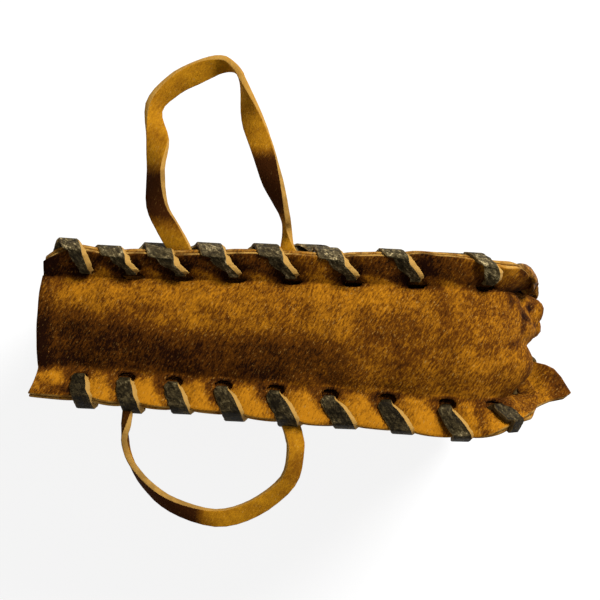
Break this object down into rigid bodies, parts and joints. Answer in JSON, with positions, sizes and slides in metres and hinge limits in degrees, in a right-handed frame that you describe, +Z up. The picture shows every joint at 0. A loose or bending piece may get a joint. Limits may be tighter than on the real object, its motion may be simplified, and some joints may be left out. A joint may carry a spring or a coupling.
{
  "type": "leather crossbody bag",
  "caption": "Soft suede crossbody bag with a laced gusset between two panels, an open mouth and a strap loop caught in each side seam.",
  "frame": {"origin": "on the flat of the underside, below the middle of the bag's length, midway between front and back", "axes": "+Z up with the bag lying on one side, +X from the mouth to the bottom of the bag, +Y to the back panel"},
  "size_m": [0.2161, 0.1905, 0.1734],
  "materials": {
    "gusset_suede": "ochre suede, rough nap out",
    "panel_suede": "ochre suede, rough nap out",
    "lace_leather": "worn grey-olive grain, tan cut edges",
    "strap_suede": "ochre suede, light cut edges"
  },
  "bodies": {
    "root": {"gusset": "gusset_suede", "front_panel": "panel_suede", "back_panel": "panel_suede", "front_lace": "lace_leather", "back_lace": "lace_leather", "upper_strap": "strap_suede", "lower_strap": "strap_suede"}
  },
  "joints": []
}
